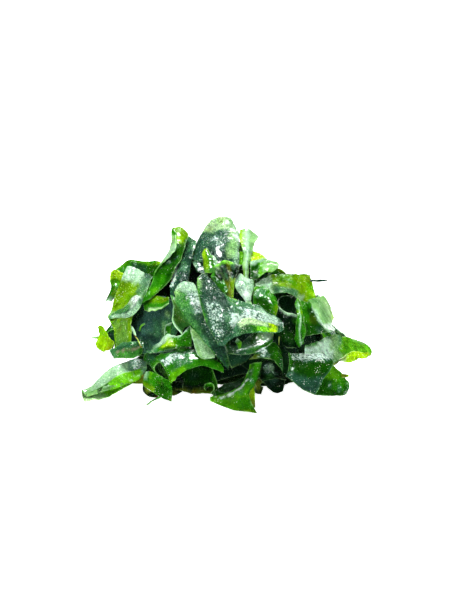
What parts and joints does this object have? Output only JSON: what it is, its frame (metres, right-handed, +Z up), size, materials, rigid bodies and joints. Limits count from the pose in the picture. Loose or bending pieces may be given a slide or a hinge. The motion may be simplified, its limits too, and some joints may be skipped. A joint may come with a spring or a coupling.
{
  "type": "soaked cut wakame",
  "caption": "Mound of soaked, cut sea-mustard blades, folded and rolled over each other, lying on a table.",
  "frame": {"origin": "centre of the mound's box, on the surface that it lies on", "axes": "+Z up, +X along the mound's widest way, -Y towards the side that the picture shows"},
  "size_m": [0.1464, 0.123, 0.0798],
  "materials": {
    "wakame_deep": "wet deep green blade, glossy",
    "wakame_green": "wet fresh green blade, glossy",
    "wakame_bright": "thin wet yellow-green blade, glossy",
    "wakame_grey": "wet grey-green blade with sky glare, glossy",
    "wakame_pale": "washed-out pale wet blade, glossy",
    "wakame_dark": "near-black wet blade in the mound's shade, glossy"
  },
  "bodies": {
    "root": {"arch_back": "wakame_green", "back_left": "wakame_bright", "back_low_left": "wakame_green", "back_low_middle": "wakame_deep", "back_low_right": "wakame_deep", "back_middle": "wakame_grey", "back_right": "wakame_bright", "back_top": "wakame_grey", "base": "wakame_dark", "cave_blade": "wakame_dark", "crown": "wakame_green", "dark_arch": "wakame_dark", "fan": "wakame_dark", "fork_left": "wakame_grey", "fork_main": "wakame_grey", "front_twist": "wakame_green", "grey_blade": "wakame_grey", "grey_fold": "wakame_deep", "inner_1": "wakame_dark", "inner_2": "wakame_dark", "inner_3": "wakame_dark", "inner_4": "wakame_dark", "inner_5": "wakame_dark", "inner_6": "wakame_dark", "left_big": "wakame_bright", "left_cup": "wakame_bright", "left_diamond": "wakame_bright", "left_flat": "wakame_green", "left_roll": "wakame_green", "left_side": "wakame_pale", "left_side_low": "wakame_deep", "left_tail": "wakame_grey", "low_left": "wakame_green", "mid_cup": "wakame_green", "pale_curl": "wakame_bright", "pale_under": "wakame_pale", "recess_blade": "wakame_dark", "right_band": "wakame_deep", "right_big": "wakame_bright", "right_fold": "wakame_green", "right_foot": "wakame_deep", "right_leaflet": "wakame_green", "right_lower": "wakame_grey", "right_pale": "wakame_pale", "right_pocket": "wakame_green", "right_side": "wakame_bright", "right_side_low": "wakame_green", "right_strip": "wakame_green", "right_tube": "wakame_dark", "shoulder": "wakame_green", "small_cup": "wakame_green", "stem_fan": "wakame_pale", "tall_blade": "wakame_green", "top_tongue": "wakame_grey", "under_band": "wakame_green", "under_tab": "wakame_deep", "upright_tip": "wakame_bright", "white_blade": "wakame_pale", "yellow_back": "wakame_bright"}
  },
  "joints": []
}
